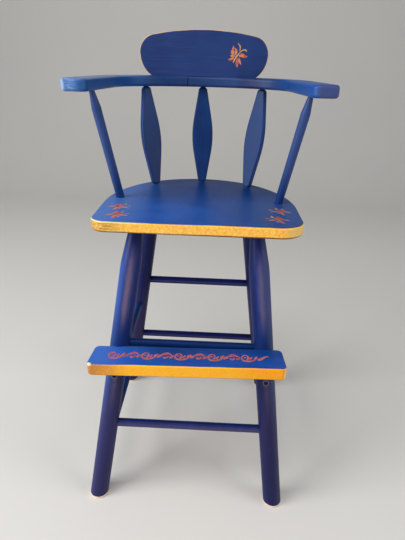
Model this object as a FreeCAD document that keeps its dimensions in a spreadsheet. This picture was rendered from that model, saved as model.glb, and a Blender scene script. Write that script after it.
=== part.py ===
import FreeCAD, Part
import math
import os
import re

import Sketcher

# Painted high chair, in millimetres.
# X runs to the right as the chair is seen from the front, Y to the back, Z up. The floor is Z = 0, and
# the origin lies below the middle of the chair. Left and right are those of someone who looks at the chair.

SIZES = {
    # Heights above the floor
    "seat_height": 585,
    "rail_height": 788,
    "footrest_height": 341.5,
    "front_upper_stretcher_height": 338,
    "front_lower_stretcher_height": 165.5,
    "rear_upper_stretcher_height": 346.3,
    "rear_lower_stretcher_height": 172.8,
    "side_upper_stretcher_height": 277.5,
    "side_lower_stretcher_height": 97,
    # Seat plank: straight front and sides, rounded back, set a little to the right
    "seat_width": 375.3,
    "seat_depth": 343,
    "seat_front_reach": 150,
    "seat_side_length": 126,
    "seat_curve_angle": 55,
    "seat_thickness": 21.5,
    "seat_left_corner_radius": 28,
    "seat_right_corner_radius": 44,
    "seat_edge_radius": 4.5,
    "seat_offset": 4.6,
    # Turned legs, underside of seat to floor: heads a little to the right, front feet to the left
    "front_foot_spread": 364,
    "front_foot_reach": 199,
    "rear_foot_spread": 372,
    "rear_foot_reach": 193,
    "front_head_spread": 218.6,
    "front_head_reach": 100,
    "rear_head_spread": 209.6,
    "rear_head_reach": 91,
    "front_foot_offset": 2.8,
    "head_offset": 2,
    "leg_head_diameter": 25,
    "leg_swell_diameter": 38.4,
    "leg_foot_diameter": 36.5,
    "leg_neck_length": 5,
    "leg_swell_drop": 72,
    "leg_swell_radius": 260,
    "leg_tenon_length": 15,
    "leg_trim": 10,
    "foot_bevel": 2.2,
    # Stretchers between the legs
    "stretcher_diameter": 16.5,
    "stretcher_end_gap": 4,
    # Footrest board: its ends flare to the front, and it sits a little to the left and out of level
    "footrest_width": 361,
    "footrest_back_width": 353,
    "footrest_depth": 62.4,
    "footrest_thickness": 24,
    "footrest_offset": 5.2,
    "footrest_tilt": 1.4,
    "footrest_cove_depth": 5.4,
    "footrest_corner_radius": 10,
    "footrest_edge_radius": 3,
    # Sockets of the spindles and posts in the seat, a little to the right
    "seat_socket_radius": 158,
    "seat_socket_offset": 1.4,
    # Back spindles: the top of the middle one stands a little to the left
    "spindle_spread_angle": 39.6,
    "spindle_rail_angle": 30,
    "centre_spindle_angle": 0.75,
    "spindle_tenon_diameter": 10,
    "spindle_tenon_length": 13,
    "spindle_lift": 1.6,
    "spindle_end_width": 18,
    "spindle_end_bevel": 3.4,
    "spindle_belly_length": 73,
    "spindle_belly_end_width": 39,
    "spindle_thickness": 12,
    "spindle_edge_radius": 3.2,
    # Arm posts: their tops stand inside the middle of the arms
    "post_spread_angle": 88,
    "post_setback": 82,
    "post_inset": 2.2,
    "post_foot_diameter": 16.4,
    "post_shoulder_diameter": 17.4,
    "post_neck_diameter": 10,
    "post_neck_length": 4,
    "post_taper_length": 28,
    "post_tenon_length": 13,
    # Bow-shaped arm rail, along its centre line: it falls a little to the left
    "rail_tilt": 0.38,
    "rail_back_reach": 186.7,
    "rail_back_radius": 246.7,
    "rail_corner_radius": 115,
    "rail_corner_angle": 33.9,
    "arm_flare_angle": 5.2,
    "arm_length": 168.5,
    "rail_width": 44,
    "rail_thickness": 20.9,
    "rail_edge_radius": 5.5,
    "arm_outer_corner_radius": 9,
    "arm_inner_corner_radius": 14,
    "splice_offset": 35,
    "splice_dowel_diameter": 8,
    "splice_dowel_length": 30,
    "splice_dowel_spacing": 18,
    # Crest board that stands on the rail, a little to the left
    "crest_offset": 2.5,
    "crest_width": 268,
    "crest_foot_width": 222,
    "crest_waist_height": 44.1,
    "crest_height": 89,
    "crest_corner_radius": 35,
    "crest_thickness": 19,
    "crest_setback": 1.3,
    "crest_edge_radius": 2.5,
    "crest_dowel_diameter": 9,
    "crest_dowel_length": 38,
    "crest_dowel_rail_depth": 13,
    "crest_dowel_inner_spacing": 130,
    "crest_dowel_end_inset": 16,
    # Screws, and the fits of everything that enters a hole
    "screw_head_diameter": 8,
    "screw_head_height": 2.6,
    "screw_shank_diameter": 4,
    "screw_slot_width": 1.1,
    "screw_slot_depth": 1.2,
    "screw_recess_depth": 2,
    "footrest_screw_length": 56,
    "stretcher_screw_length": 48,
    "end_bevel": 1.2,
    "glue_clearance": 0.1,
    "socket_end_gap": 0.5,
}

SIDES = {"left": -1, "right": 1}

doc = FreeCAD.newDocument("high_chair")
sheet = doc.addObject("Spreadsheet::Sheet", "Sizes")
for row, (alias, size) in enumerate(SIZES.items(), start=1):
    sheet.set(f"A{row}", str(size))
    sheet.setAlias(f"A{row}", alias)
doc.recompute()

finished = []


# Formulas of sizes

def formula(text):
    """Spell out each size name so that the document finds its cell."""
    return re.sub(r"[a-z]\w+", lambda word: cell(word.group()), text)


def cell(word):
    return "Sizes." + word if word in SIZES else word


def value(text):
    return float(sheet.evalExpression(formula(text)))


def bind(feature, name, text):
    feature.setExpression(name, formula(text))


def spot(point):
    """Turn three formulas into a place in the chair."""
    return FreeCAD.Vector(*[value(text) for text in point])


def apart(start, end):
    """Formula of the distance between two points."""
    squares = [f"(({a}) - ({b}))^2" for a, b in zip(start, end)]
    return "sqrt(" + " + ".join(squares) + ")"


def along(start, end, step="0"):
    """Placement whose Z axis runs from start to end, moved on by step."""
    begin = spot(start)
    run = (spot(end) - begin).normalize()
    turn = FreeCAD.Rotation(FreeCAD.Vector(0, 0, 1), run)
    return FreeCAD.Placement(begin + run * value(step), turn)


# Sketches and solids

def origin_plane(body, role):
    return [plane for plane in body.Origin.OriginFeatures if plane.Role == role][0]


def arc_between(begin, finish, radius, turn):
    """Short arc from begin to finish that turns left (1) or right (-1)."""
    chord = finish - begin
    reach = math.sqrt(max(radius ** 2 - chord.Length ** 2 / 4, 0))
    left = FreeCAD.Vector(-chord.y, chord.x, 0).normalize()
    centre = (begin + finish) * 0.5 + left * (reach * turn)
    first, last = (begin, finish) if turn > 0 else (finish, begin)
    from_angle = math.atan2(first.y - centre.y, first.x - centre.x)
    to_angle = math.atan2(last.y - centre.y, last.x - centre.x)
    if to_angle < from_angle:
        to_angle += 2 * math.pi
    circle = Part.Circle(centre, FreeCAD.Vector(0, 0, 1), radius)
    return Part.ArcOfCircle(circle, from_angle, to_angle)


def closed_sketch(body, role, corners):
    """Sketch a closed outline, every corner pinned by formulas.

    A corner is (across, up), or (across, up, radius, turn) where the edge that leaves it is an arc.
    """
    sketch = body.newObject("Sketcher::SketchObject", body.Name + "_outline")
    sketch.AttachmentSupport = (origin_plane(body, role), [""])
    sketch.MapMode = "FlatFace"
    points = [FreeCAD.Vector(value(corner[0]), value(corner[1]), 0) for corner in corners]
    starts = []
    for index, corner in enumerate(corners):
        begin = points[index]
        finish = points[(index + 1) % len(points)]
        if len(corner) == 2:
            sketch.addGeometry(Part.LineSegment(begin, finish), False)
            starts.append(1)
        else:
            sketch.addGeometry(arc_between(begin, finish, value(corner[2]), corner[3]), False)
            starts.append(1 if corner[3] > 0 else 2)
    for index, start in enumerate(starts):
        after = (index + 1) % len(starts)
        sketch.addConstraint(Sketcher.Constraint("Coincident", index, 3 - start, after, starts[after]))
    for index, corner in enumerate(corners):
        pin(sketch, Sketcher.Constraint("DistanceX", index, starts[index], points[index].x), corner[0])
        pin(sketch, Sketcher.Constraint("DistanceY", index, starts[index], points[index].y), corner[1])
        if len(corner) > 2:
            pin(sketch, Sketcher.Constraint("Radius", index, value(corner[2])), corner[2])
    doc.recompute()
    return sketch


def pin(sketch, constraint, text):
    number = sketch.addConstraint(constraint)
    bind(sketch, f"Constraints[{number}]", text)


def turned(name, profile):
    """Body turned about its own Z axis from a profile of (radius, height) corners."""
    body = doc.addObject("PartDesign::Body", name)
    sketch = closed_sketch(body, "XZ_Plane", profile)
    turning = body.newObject("PartDesign::Revolution", name + "_turning")
    turning.Profile = sketch
    turning.ReferenceAxis = (sketch, ["V_Axis"])
    turning.Angle = 360
    doc.recompute()
    return body


def board(name, role, corners, thickness, side_type="One side"):
    """Body sawn to an outline from wood of one thickness."""
    body = doc.addObject("PartDesign::Body", name)
    sketch = closed_sketch(body, role, corners)
    sawn = body.newObject("PartDesign::Pad", name + "_sawn")
    sawn.Profile = sketch
    sawn.SideType = side_type
    bind(sawn, "Length", thickness)
    doc.recompute()
    return body


def round_edges(body, radius, chosen):
    """Round those of the body's edges that the test chooses."""
    base = body.Tip
    names = [f"Edge{i}" for i, edge in enumerate(base.Shape.Edges, start=1) if chosen(edge)]
    rounding = body.newObject("PartDesign::Fillet", body.Name + "_rounding")
    rounding.Base = (base, names)
    bind(rounding, "Radius", radius)
    doc.recompute()


def upright_at(corners):
    """Test for the upright edges above the given corners of an outline."""
    places = [FreeCAD.Vector(value(corner[0]), value(corner[1]), 0) for corner in corners]

    def chosen(edge):
        middle = edge.BoundBox.Center
        flat = FreeCAD.Vector(middle.x, middle.y, 0)
        return edge.BoundBox.ZLength > 1 and any(flat.distanceToPoint(place) < 0.1 for place in places)
    return chosen


def in_faces(axis, height):
    """Test for edges in the two faces of a board: at 0 and height along Z, or at +-height along Y."""
    levels = (0, height) if axis == "Z" else (-height, height)

    def chosen(edge):
        box = edge.BoundBox
        low, high = (box.ZMin, box.ZMax) if axis == "Z" else (box.YMin, box.YMax)
        return any(abs(low - level) < 0.01 and abs(high - level) < 0.01 for level in levels)
    return chosen


def bore(name, diameter, length, placement):
    """Drill-shaped cutter, a glue clearance wider than what goes into its hole."""
    drill = doc.addObject("Part::Cylinder", name)
    bind(drill, "Radius", f"({diameter}) / 2 + glue_clearance")
    bind(drill, "Height", length)
    drill.Placement = placement
    return drill


def cut(name, blank, cutters):
    gathered = doc.addObject("Part::Compound", name + "_cutters")
    gathered.Links = cutters
    piece = doc.addObject("Part::Cut", name)
    piece.Base = blank
    piece.Tool = gathered
    doc.recompute()
    return piece


def group(name, pieces):
    """Alike fasteners, each a solid of its own, under one name."""
    together = doc.addObject("Part::Compound", name)
    together.Links = pieces
    doc.recompute()
    return together


def keep(piece, label):
    piece.Label = label
    finished.append(piece)


# Legs: points and widths along the splayed axes

SEAT_UNDERSIDE = "(seat_height - seat_thickness)"
FOOT = {
    "front": ("front_foot_spread / 2", "-front_foot_reach", "0"),
    "rear": ("rear_foot_spread / 2", "rear_foot_reach", "0"),
}
FOOT_SHIFT = {"front": "-front_foot_offset", "rear": "0"}
HEAD = {
    "front": ("front_head_spread / 2", "-front_head_reach", SEAT_UNDERSIDE),
    "rear": ("rear_head_spread / 2", "rear_head_reach", SEAT_UNDERSIDE),
}


def leg_foot(end, side):
    """Where a leg's axis meets the floor."""
    across, back, up = FOOT[end]
    return (f"{SIDES[side]} * {across} + {FOOT_SHIFT[end]}", back, up)


def leg_head(end, side):
    """Where a leg's axis meets the seat's underside."""
    across, back, up = HEAD[end]
    return (f"{SIDES[side]} * {across} + head_offset", back, up)


def leg_length(end, side):
    return apart(leg_foot(end, side), leg_head(end, side))


def leg_axis(end, side, height):
    """Point of a leg's axis at a height above the floor."""
    share = f"({height}) / {SEAT_UNDERSIDE}"
    ends = zip(leg_foot(end, side)[:2], leg_head(end, side)[:2])
    across, back = [f"({a}) + (({b}) - ({a})) * {share}" for a, b in ends]
    return (across, back, height)


def leg_slope(end, side):
    """Change of a leg's radius for each unit of its long taper."""
    return f"((leg_swell_diameter - leg_foot_diameter) / 2 / ({leg_length(end, side)} - leg_swell_drop))"


def leg_radius(end, side, height):
    """Radius of a leg's long taper at a height above the floor."""
    climbed = f"({height}) / {SEAT_UNDERSIDE} * {leg_length(end, side)}"
    return f"(leg_foot_diameter / 2 + {leg_slope(end, side)} * {climbed})"


def along_leg(end, side, step):
    """Placement on a leg's axis, a step up from the floor."""
    return along(leg_foot(end, side), leg_head(end, side), step)


def leg_blank(end, side):
    """Turned leg: straight neck into the seat, cone to a rounded swell, long taper past the floor."""
    length = leg_length(end, side)
    slope = leg_slope(end, side)
    tip = f"-({length} + leg_trim)"
    tip_radius = f"leg_foot_diameter / 2 - {slope} * leg_trim"
    cone = "atan((leg_swell_diameter - leg_head_diameter) / 2 / (leg_swell_drop - leg_neck_length))"
    taper = f"atan({slope})"
    reach = f"leg_swell_radius * tan(({cone} + {taper}) / 2)"
    below = (f"leg_swell_diameter / 2 - {reach} * sin({taper})", f"-leg_swell_drop - {reach} * cos({taper})")
    above = (f"leg_swell_diameter / 2 - {reach} * sin({cone})", f"{reach} * cos({cone}) - leg_swell_drop")
    profile = [
        ("0", tip),
        (tip_radius, tip),
        (*below, "leg_swell_radius", 1),
        above,
        ("leg_head_diameter / 2", "-leg_neck_length"),
        ("leg_head_diameter / 2", "leg_tenon_length - end_bevel"),
        ("leg_head_diameter / 2 - end_bevel", "leg_tenon_length"),
        ("0", "leg_tenon_length"),
    ]
    body = turned(f"{end}_{side}_leg_blank", profile)
    body.Placement = along_leg(end, side, length)
    return body


def floor_saw():
    """Block below the floor that saws every foot level."""
    block = doc.addObject("Part::Box", "floor_saw")
    bind(block, "Length", "2 * (front_foot_spread + rear_foot_spread)")
    bind(block, "Width", "2 * (front_foot_reach + rear_foot_reach)")
    bind(block, "Height", "4 * leg_trim")
    block.Placement.Base = spot((
        "-(front_foot_spread + rear_foot_spread)",
        "-(front_foot_reach + rear_foot_reach)",
        "-4 * leg_trim",
    ))
    return block


def make_leg(end, side, cutters):
    name = f"{end}_{side}_leg"
    sawn = cut(name + "_sawn", leg_blank(end, side), cutters)
    rim = [i for i, edge in enumerate(sawn.Shape.Edges, start=1) if edge.BoundBox.ZMax < 0.01]
    bevel = value("foot_bevel")
    leg = doc.addObject("Part::Chamfer", name)
    leg.Base = sawn
    leg.Edges = [(number, bevel, bevel) for number in rim]
    doc.recompute()
    keep(leg, name)


def leg_socket(end, side):
    """Socket in the seat's underside for a leg's tenon."""
    placement = along_leg(end, side, f"{leg_length(end, side)} - leg_head_diameter")
    deep = "leg_head_diameter + leg_tenon_length + socket_end_gap"
    return bore(f"{end}_{side}_leg_socket", "leg_head_diameter", deep, placement)


# Stretchers: plain dowels, blind in the legs

def stretcher_run(kind, height):
    """The two leg points that a stretcher joins, and the legs they belong to."""
    if kind in ("front", "rear"):
        ends = [(kind, "left"), (kind, "right")]
    else:
        ends = [("front", kind), ("rear", kind)]
    return ends, [leg_axis(end, side, height) for end, side in ends]


def dowel(name, diameter, length):
    """Turned dowel that starts at its own origin, with both ends bevelled."""
    profile = [
        ("0", "0"),
        (f"({diameter}) / 2 - end_bevel", "0"),
        (f"({diameter}) / 2", "end_bevel"),
        (f"({diameter}) / 2", f"{length} - end_bevel"),
        (f"({diameter}) / 2 - end_bevel", length),
        ("0", length),
    ]
    return turned(name, profile)


def make_stretcher(name, kind, height, sockets, cutters):
    """Fit one stretcher, and add its two sockets to those of its legs."""
    ends, points = stretcher_run(kind, height)
    length = f"({apart(*points)} - 2 * stretcher_end_gap)"
    body = dowel(name + "_blank", "stretcher_diameter", length)
    body.Placement = along(*points, "stretcher_end_gap")
    for (end, side), start, other in zip(ends, points, reversed(points)):
        placement = along(start, other, "stretcher_end_gap - socket_end_gap")
        socket = bore(f"{name}_{end}_{side}_socket", "stretcher_diameter", "leg_swell_diameter", placement)
        sockets[end, side].append(socket)
    keep(cut(name, body, cutters) if cutters else body, name)


def make_stretchers(sockets, side_holes):
    for kind in ("front", "rear"):
        for level in ("upper", "lower"):
            height = f"{kind}_{level}_stretcher_height"
            make_stretcher(f"{kind}_{level}_stretcher", kind, height, sockets, [])
    for side in SIDES:
        for level in ("upper", "lower"):
            holes = [side_holes[side]] if level == "upper" else []
            height = f"side_{level}_stretcher_height"
            make_stretcher(f"{side}_{level}_side_stretcher", side, height, sockets, holes)


# Screws

def screw(name, length, placement):
    """Slotted round screw that points down its own Z axis, the top of its head at the origin."""
    profile = [
        ("0", f"-{length}"),
        ("screw_shank_diameter / 2", f"screw_shank_diameter - {length}"),
        ("screw_shank_diameter / 2", "-screw_head_height"),
        ("screw_head_diameter / 2", "-screw_head_height"),
        ("screw_head_diameter / 2", "-screw_head_height / 2"),
        ("screw_head_diameter / 3", "0"),
        ("0", "0"),
    ]
    body = turned(name, profile)
    half_slot = "screw_slot_width / 2"
    outline = [
        ("-screw_head_diameter", f"-{half_slot}"),
        ("screw_head_diameter", f"-{half_slot}"),
        ("screw_head_diameter", half_slot),
        ("-screw_head_diameter", half_slot),
    ]
    slot = body.newObject("PartDesign::Pocket", name + "_slot")
    slot.Profile = closed_sketch(body, "XY_Plane", outline)
    bind(slot, "Length", "screw_slot_depth")
    doc.recompute()
    body.Placement = placement
    return body


def screw_holes(name, length, start, end, head_at):
    """Hole for a screw's shank and a wider recess for its head, on the line from start out to end."""
    shank = bore(
        name + "_hole", "screw_shank_diameter", f"{length} + socket_end_gap",
        along(start, end, f"{head_at} - {length} - socket_end_gap"),
    )
    recess = bore(
        name + "_recess", "screw_head_diameter + 4 * glue_clearance", "leg_swell_diameter",
        along(start, end, f"{head_at} - screw_head_height"),
    )
    return shank, recess


def make_stretcher_screws(sockets):
    """Screws through the front legs into the upper side stretchers; returns their holes."""
    height = "side_upper_stretcher_height"
    screws = []
    holes = {}
    for side in SIDES:
        name = f"{side}_stretcher_screw"
        front, rear = stretcher_run(side, height)[1]
        head_at = f"({apart(front, rear)} + {leg_radius('front', side, height)} - screw_recess_depth)"
        placement = along(rear, front, head_at)
        screws.append(screw(name, "stretcher_screw_length", placement))
        shank, recess = screw_holes(name, "stretcher_screw_length", rear, front, head_at)
        sockets["front", side] += [shank, recess]
        holes[side] = shank
    keep(group("stretcher_screws", screws), "stretcher_screws")
    return holes


FOOTREST_MIDDLE = "(footrest_height - footrest_thickness / 2)"


def make_footrest_screws(sockets):
    """Screws from behind, through the front legs into the footrest; returns their holes."""
    screws = []
    holes = []
    for side in SIDES:
        name = f"{side}_footrest_screw"
        axis = leg_axis("front", side, FOOTREST_MIDDLE)
        behind = (axis[0], f"{axis[1]} + leg_swell_diameter", axis[2])
        head_at = f"({leg_radius('front', side, FOOTREST_MIDDLE)} - screw_recess_depth)"
        screws.append(screw(name, "footrest_screw_length", along(axis, behind, head_at)))
        shank, recess = screw_holes(name, "footrest_screw_length", axis, behind, head_at)
        sockets["front", side] += [shank, recess]
        holes.append(shank)
    keep(group("footrest_screws", screws), "footrest_screws")
    return holes


# Footrest: a board bedded on the fronts of the front legs

def leg_cove(side):
    """Cone as thick as the leg's long taper, to hollow the board's back edge."""
    name = f"{side}_leg_cove"
    cove = doc.addObject("Part::Cone", name)
    bind(cove, "Radius1", "leg_foot_diameter / 2 + glue_clearance")
    bind(cove, "Radius2", "leg_swell_diameter / 2 + glue_clearance")
    bind(cove, "Height", f"{leg_length('front', side)} - leg_swell_drop")
    cove.Placement = along_leg("front", side, "0")
    return cove


def make_footrest(screw_shanks):
    corners = [
        ("-footrest_width / 2", "-footrest_depth"),
        ("footrest_width / 2", "-footrest_depth"),
        ("footrest_back_width / 2", "0"),
        ("-footrest_back_width / 2", "0"),
    ]
    body = board("footrest_blank", "XY_Plane", corners, "footrest_thickness")
    round_edges(body, "footrest_corner_radius", upright_at(corners))
    round_edges(body, "footrest_edge_radius", in_faces("Z", value("footrest_thickness")))
    leg = leg_axis("front", "right", FOOTREST_MIDDLE)
    bed = f"{leg[1]} - {leg_radius('front', 'right', FOOTREST_MIDDLE)} + footrest_cove_depth"
    middle = spot(("-footrest_offset", bed, "footrest_height - footrest_thickness"))
    tilt = FreeCAD.Rotation(FreeCAD.Vector(0, -1, 0), value("footrest_tilt"))
    body.Placement = FreeCAD.Placement(middle, tilt)
    coves = [leg_cove(side) for side in SIDES]
    keep(cut("footrest_board", body, coves + screw_shanks), "footrest_board")


# Seat

def seat_outline():
    """Straight front and sides; behind them three tangent arcs make the rounded back."""
    half = "(seat_width / 2)"
    front = "-seat_front_reach"
    bend = "(seat_side_length - seat_front_reach)"
    rise = "(seat_depth - seat_side_length)"
    ratio = "((1 - sin(seat_curve_angle)) / cos(seat_curve_angle))"
    back_radius = f"(({half} - {ratio} * {rise}) / (1 - {ratio}))"
    side_radius = f"({back_radius} + ({rise} - {back_radius}) / cos(seat_curve_angle))"
    meet_across = f"{back_radius} * sin(seat_curve_angle)"
    meet_back = f"{bend} + {rise} - {back_radius} * (1 - cos(seat_curve_angle))"
    return [
        (half, front),
        (half, bend, side_radius, 1),
        (meet_across, meet_back, back_radius, 1),
        (f"-{meet_across}", meet_back, side_radius, 1),
        (f"-{half}", bend),
        (f"-{half}", front),
    ]


def make_seat(sockets):
    corners = seat_outline()
    body = board("seat_blank", "XY_Plane", corners, "seat_thickness")
    right, left = corners[0], corners[-1]
    round_edges(body, "seat_left_corner_radius", upright_at([left]))
    round_edges(body, "seat_right_corner_radius", upright_at([right]))
    edge = "min(seat_edge_radius; 0.45 * seat_thickness)"
    round_edges(body, edge, in_faces("Z", value("seat_thickness")))
    body.Placement.Base = spot(("seat_offset", "0", SEAT_UNDERSIDE))
    keep(cut("seat_plank", body, sockets), "seat_plank")


# Arm rail: points along its centre line, or beside it by an offset

RAIL_CENTRE = "(rail_back_reach - rail_back_radius)"
CORNER_ACROSS = "((rail_back_radius - rail_corner_radius) * sin(rail_corner_angle))"
CORNER_BACK = f"({RAIL_CENTRE} + (rail_back_radius - rail_corner_radius) * cos(rail_corner_angle))"


def rail_back(side, offset, angle):
    """Point of the back curve at an angle from the middle."""
    radius = f"(rail_back_radius + {offset})"
    across = f"{SIDES[side]} * {radius} * sin({angle})"
    return (across, f"{RAIL_CENTRE} + {radius} * cos({angle})")


def rail_arm(side, offset, run):
    """Point of an arm, a run forward of where its bend ends."""
    radius = f"(rail_corner_radius + {offset})"
    out = f"{CORNER_ACROSS} + {radius} * cos(arm_flare_angle) + ({run}) * sin(arm_flare_angle)"
    back = f"{CORNER_BACK} + {radius} * sin(arm_flare_angle) - ({run}) * cos(arm_flare_angle)"
    return (f"{SIDES[side]} * ({out})", back)


def rail_edge(offset, sides, turn):
    """One long edge of the rail, from the end of the first arm to the end of the second."""
    first, second = sides
    corner = f"rail_corner_radius + {offset}"
    return [
        rail_arm(first, offset, "arm_length"),
        (*rail_arm(first, offset, "0"), corner, turn),
        (*rail_back(first, offset, "rail_corner_angle"), f"rail_back_radius + {offset}", turn),
        (*rail_back(second, offset, "rail_corner_angle"), corner, turn),
        rail_arm(second, offset, "0"),
        rail_arm(second, offset, "arm_length"),
    ]


def rail_frame():
    """Placement of the rail's underside, from which the rail and the crest are measured."""
    fall = FreeCAD.Rotation(FreeCAD.Vector(0, -1, 0), value("rail_tilt"))
    return FreeCAD.Placement(spot(("0", "0", "rail_height")), fall)


def at_rail(point):
    """Placement at a point given from the rail's underside."""
    return rail_frame().multiply(FreeCAD.Placement(spot(point), FreeCAD.Rotation()))


def along_rail(start, end, step):
    """Like along, between points given from the rail's underside."""
    return rail_frame().multiply(along(start, end, step))


def under_rail(across, back):
    """Point of the chair where the rail's underside lies over a place in plan."""
    return (across, back, f"rail_height + ({across}) * tan(rail_tilt)")


def rail_blank():
    """The whole horseshoe before it is parted at its seam."""
    outer = rail_edge("rail_width / 2", ("right", "left"), 1)
    inner = rail_edge("(-rail_width / 2)", ("left", "right"), -1)
    body = board("rail_blank", "XY_Plane", outer + inner, "rail_thickness")
    round_edges(body, "arm_outer_corner_radius", upright_at([outer[0], outer[-1]]))
    round_edges(body, "arm_inner_corner_radius", upright_at([inner[0], inner[-1]]))
    edge = "min(rail_edge_radius; 0.45 * rail_thickness)"
    round_edges(body, edge, in_faces("Z", value("rail_thickness")))
    body.Placement = rail_frame()
    return body


def seam_block(name, seam):
    """Block that holds everything left of the seam."""
    block = doc.addObject("Part::Box", name)
    bind(block, "Length", "2 * (rail_back_radius + rail_width)")
    bind(block, "Width", "4 * (rail_back_radius + arm_length)")
    bind(block, "Height", "3 * rail_thickness")
    block.Placement = at_rail((
        f"{seam} - 2 * (rail_back_radius + rail_width)",
        "-2 * (rail_back_radius + arm_length)",
        "-rail_thickness",
    ))
    return block


def make_rails(sockets):
    """Bore the horseshoe, then part it into its two glued lengths."""
    bored = cut("bored_rail", rail_blank(), sockets)
    left = doc.addObject("Part::Common", "left_arm_rail")
    left.Base = bored
    left.Tool = seam_block("left_of_seam", "-splice_offset - glue_clearance / 2")
    right = doc.addObject("Part::Cut", "right_arm_rail")
    right.Base = bored
    right.Tool = seam_block("off_right_length", "-splice_offset + glue_clearance / 2")
    doc.recompute()
    keep(left, "left_arm_rail")
    keep(right, "right_arm_rail")


def make_splice_dowels():
    """Two pegs across the seam; returns their hole cutters."""
    back = f"{RAIL_CENTRE} + sqrt(rail_back_radius^2 - splice_offset^2)"
    pegs = []
    holes = []
    for name, shift in (("inner", "-splice_dowel_spacing / 2"), ("outer", "splice_dowel_spacing / 2")):
        seam = ("-splice_offset", f"{back} + {shift}", "rail_thickness / 2")
        beyond = (f"{seam[0]} + splice_dowel_length", seam[1], seam[2])
        peg = dowel(f"{name}_splice_dowel", "splice_dowel_diameter", "splice_dowel_length")
        peg.Placement = along_rail(seam, beyond, "-splice_dowel_length / 2")
        pegs.append(peg)
        holes.append(bore(
            f"{name}_splice_hole", "splice_dowel_diameter", "splice_dowel_length + 2 * socket_end_gap",
            along_rail(seam, beyond, "-splice_dowel_length / 2 - socket_end_gap"),
        ))
    keep(group("splice_dowels", pegs), "splice_dowels")
    return holes


# Spindles and posts between the seat and the rail

def seat_socket(side, angle):
    across = f"{SIDES[side]} * seat_socket_radius * sin({angle}) + seat_socket_offset"
    return (across, f"seat_socket_radius * cos({angle})", "seat_height")


def spindle_outline(length):
    """Arrow-shaped outline: bevelled ends, straight tapers and a rounded belly tangent to them."""
    tip = "(spindle_end_width / 2 - spindle_end_bevel)"
    end = "spindle_end_width / 2"
    wide = "spindle_belly_end_width / 2"
    bevelled = "spindle_lift + spindle_end_bevel"
    tapered = f"({length} - spindle_belly_length) / 2"
    slant = f"atan(({wide} - {end}) / ({tapered} - ({bevelled})))"
    belly = f"spindle_belly_length / 2 / sin({slant})"
    return [
        (tip, "spindle_lift"),
        (end, bevelled),
        (wide, tapered, belly, 1),
        (wide, f"{length} - ({tapered})"),
        (end, f"{length} - ({bevelled})"),
        (tip, f"{length} - spindle_lift"),
        (f"-{tip}", f"{length} - spindle_lift"),
        (f"-{end}", f"{length} - ({bevelled})"),
        (f"-{wide}", f"{length} - ({tapered})", belly, 1),
        (f"-{wide}", tapered),
        (f"-{end}", bevelled),
        (f"-{tip}", "spindle_lift"),
    ]


def make_spindle(name, foot, top, facing):
    """Flat spindle with a round tenon at each end; facing is the angle its back face looks along."""
    length = apart(foot, top)
    body = board(name, "XZ_Plane", spindle_outline(length), "spindle_thickness", "Symmetric")
    edge = "min(spindle_edge_radius; 0.4 * spindle_thickness)"
    round_edges(body, edge, in_faces("Y", value("spindle_thickness / 2")))
    tenons = body.newObject("PartDesign::AdditiveCylinder", name + "_tenons")
    tenons.AttachmentSupport = (origin_plane(body, "XY_Plane"), [""])
    tenons.MapMode = "FlatFace"
    bind(tenons, "AttachmentOffset.Base.z", "-spindle_tenon_length")
    bind(tenons, "Radius", "spindle_tenon_diameter / 2")
    bind(tenons, "Height", f"{length} + 2 * spindle_tenon_length")
    doc.recompute()
    placement = along(foot, top)
    across = FreeCAD.Vector(math.cos(math.radians(facing)), -math.sin(math.radians(facing)), 0)
    upward = placement.Rotation.multVec(FreeCAD.Vector(0, 0, 1))
    placement.Rotation = FreeCAD.Rotation(across, FreeCAD.Vector(0, 1, 0), upward, "ZXY")
    body.Placement = placement
    keep(body, name)


def make_post(name, foot, top):
    """Turned post: stout foot in the seat, quick taper to a thin neck under the rail."""
    length = apart(foot, top)
    neck = f"{length} - post_neck_length"
    end = f"{length} + post_tenon_length"
    profile = [
        ("0", "-post_tenon_length"),
        ("post_foot_diameter / 2 - end_bevel", "-post_tenon_length"),
        ("post_foot_diameter / 2", "end_bevel - post_tenon_length"),
        ("post_foot_diameter / 2", "post_neck_length"),
        ("post_shoulder_diameter / 2", f"{neck} - post_taper_length"),
        ("post_neck_diameter / 2", neck),
        ("post_neck_diameter / 2", f"{end} - end_bevel"),
        ("post_neck_diameter / 2 - end_bevel", end),
        ("0", end),
    ]
    body = turned(name, profile)
    body.Placement = along(foot, top)
    keep(body, name)


def tenon_sockets(name, foot, top, foot_diameter, top_diameter, tenon):
    """Socket in the seat and socket in the rail for one upright."""
    deep = f"{tenon} + socket_end_gap"
    reach = f"{deep} + {foot_diameter}"
    low = bore(name + "_foot_socket", foot_diameter, reach, along(foot, top, f"-({deep})"))
    high = bore(name + "_top_socket", top_diameter, reach, along(top, foot, f"-({deep})"))
    return low, high


def make_uprights(seat_sockets, rail_sockets):
    spindles = {
        "left": ("left", "spindle_spread_angle", "spindle_rail_angle"),
        "centre": ("left", "0", "centre_spindle_angle"),
        "right": ("right", "spindle_spread_angle", "spindle_rail_angle"),
    }
    for name, (side, foot_angle, rail_angle) in spindles.items():
        foot = seat_socket(side, foot_angle)
        top = under_rail(*rail_back(side, "0", rail_angle))
        make_spindle(f"{name}_spindle", foot, top, SIDES[side] * value(foot_angle))
        wide = "spindle_tenon_diameter"
        low, high = tenon_sockets(f"{name}_spindle", foot, top, wide, wide, "spindle_tenon_length")
        seat_sockets.append(low)
        rail_sockets.append(high)
    for side in SIDES:
        name = f"{side}_arm_post"
        foot = seat_socket(side, "post_spread_angle")
        top = under_rail(*rail_arm(side, "(-post_inset)", "arm_length - post_setback"))
        make_post(name, foot, top)
        low, high = tenon_sockets(
            name, foot, top, "post_foot_diameter", "post_neck_diameter", "post_tenon_length",
        )
        seat_sockets.append(low)
        rail_sockets.append(high)


# Crest board

CREST_MIDDLE = "(rail_back_reach - rail_width / 2 + crest_setback + crest_thickness / 2)"


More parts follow.
